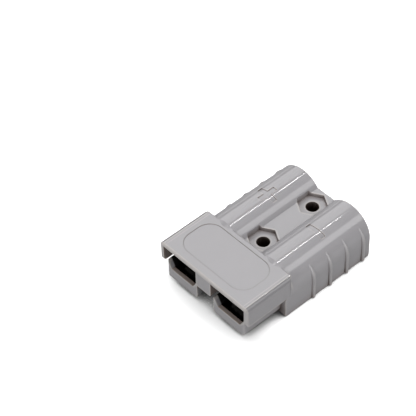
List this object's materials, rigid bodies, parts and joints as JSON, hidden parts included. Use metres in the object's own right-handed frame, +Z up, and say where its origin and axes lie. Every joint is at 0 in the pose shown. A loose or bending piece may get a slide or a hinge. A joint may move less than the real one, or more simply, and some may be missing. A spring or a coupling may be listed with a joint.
{
  "type": "genderless power connector",
  "caption": "Flat grey genderless power connector: one moulded housing with hood, noses and cable barrels, leaf springs and crimp contacts inside.",
  "frame": {"origin": "middle of the underside, halfway between the mating face and the cable end", "axes": "+Z up from the flat underside, +Y towards the cable end, -Y out of the mating face, +X towards the negative pole"},
  "size_m": [0.0374, 0.0492, 0.0157],
  "materials": {
    "housing_plastic": "semi-gloss moulded polycarbonate",
    "spring_steel": "rolled stainless strip",
    "contact_plating": "satin silver plate on copper"
  },
  "bodies": {
    "root": {"housing": "housing_plastic", "spring_positive": "spring_steel", "spring_negative": "spring_steel", "contact_positive": "contact_plating", "contact_negative": "contact_plating"}
  },
  "joints": []
}
